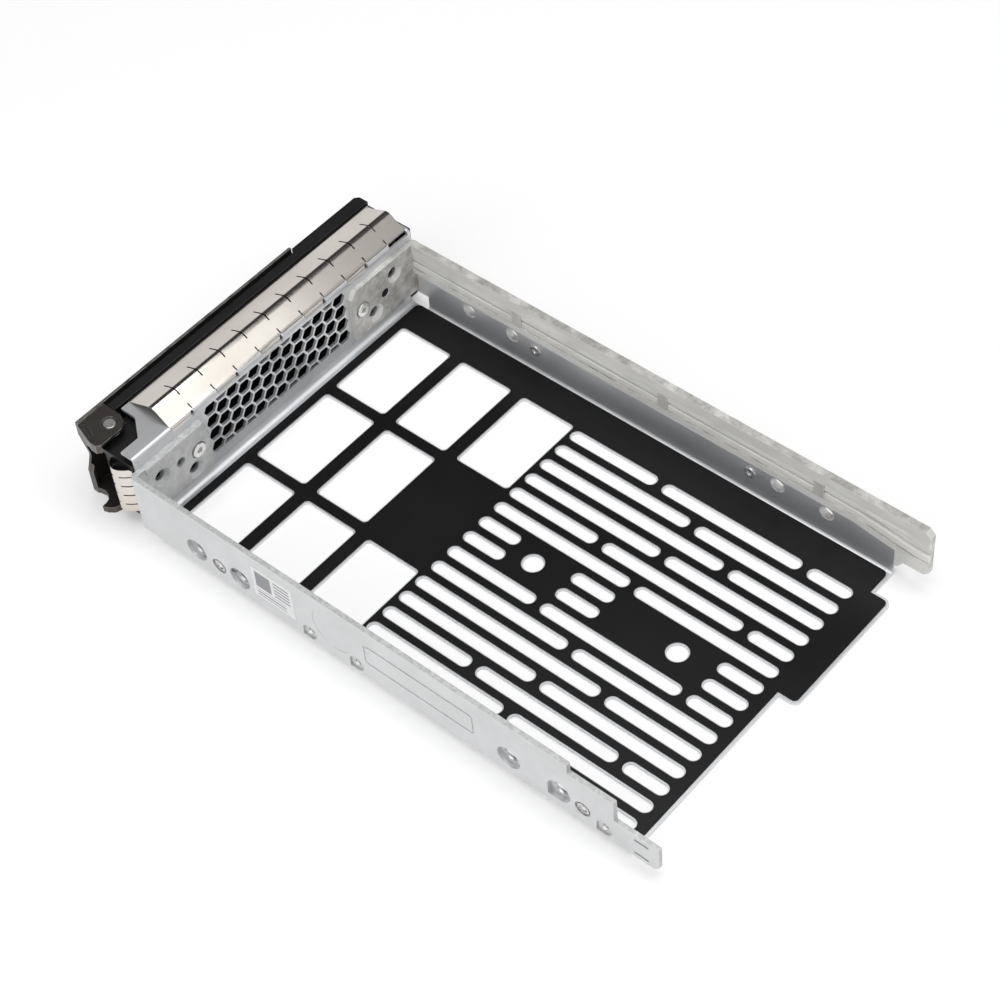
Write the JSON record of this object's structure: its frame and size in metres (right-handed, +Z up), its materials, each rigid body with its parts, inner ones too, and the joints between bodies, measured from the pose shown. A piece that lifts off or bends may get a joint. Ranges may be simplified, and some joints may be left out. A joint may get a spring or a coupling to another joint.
{
  "type": "hot swap drive caddy",
  "caption": "Open drive tray with slotted floor, honeycomb front wall, cast side rails, contact fingers, black bezel and swing lever.",
  "frame": {"origin": "underside of the tray, on the centre plane of the drive bay, at the front end of the floor slots", "axes": "+X towards the right rail seen from the front, +Y towards the connector end, +Z up out of the open bay"},
  "size_m": [0.108, 0.1882, 0.0286],
  "materials": {
    "zinc_sheet": "satin",
    "black_film": "satin",
    "cast_rail": "matte",
    "cast_clip": "matte",
    "light_pipe": "satin",
    "spring_steel": "gloss",
    "black_plastic": "matte",
    "button_plastic": "matte",
    "plated_steel": "gloss",
    "spring_wire": "gloss",
    "dark_steel": "satin",
    "paper_label": "matte"
  },
  "bodies": {
    "caddy": {"tray": "zinc_sheet", "insulator_film": "black_film", "rail_right": "cast_rail", "rail_left": "cast_rail", "light_pipe_upper": "light_pipe", "light_pipe_lower": "light_pipe", "pipe_clip_1": "cast_clip", "pipe_clip_2": "cast_clip", "pipe_clip_3": "cast_clip", "top_contact_strip": "spring_steel", "side_contact_strip": "spring_steel", "bezel": "black_plastic", "pivot_pin": "plated_steel", "lever_spring": "spring_wire", "button_spring": "spring_wire", "ear_screws": "plated_steel", "rivets_right": "plated_steel", "rivets_left": "plated_steel", "lug_studs": "plated_steel", "blank_label": "paper_label"},
    "lever": {"lever": "dark_steel"},
    "button": {"release_button": "button_plastic"}
  },
  "joints": [
    {"name": "lever_hinge", "type": "hinge", "parent": "caddy", "child": "lever", "pos_m": [0.04525, -0.0803, 0.0128], "axis": [0, 0, 1], "range_deg": [0, 55]},
    {"name": "release_push", "type": "slide", "parent": "caddy", "child": "button", "axis": [0, 1, 0], "range_m": [0, 0.002], "stiffness_N_per_m": 500, "springref_m": -0.001, "deforming": ["button_spring"]}
  ]
}
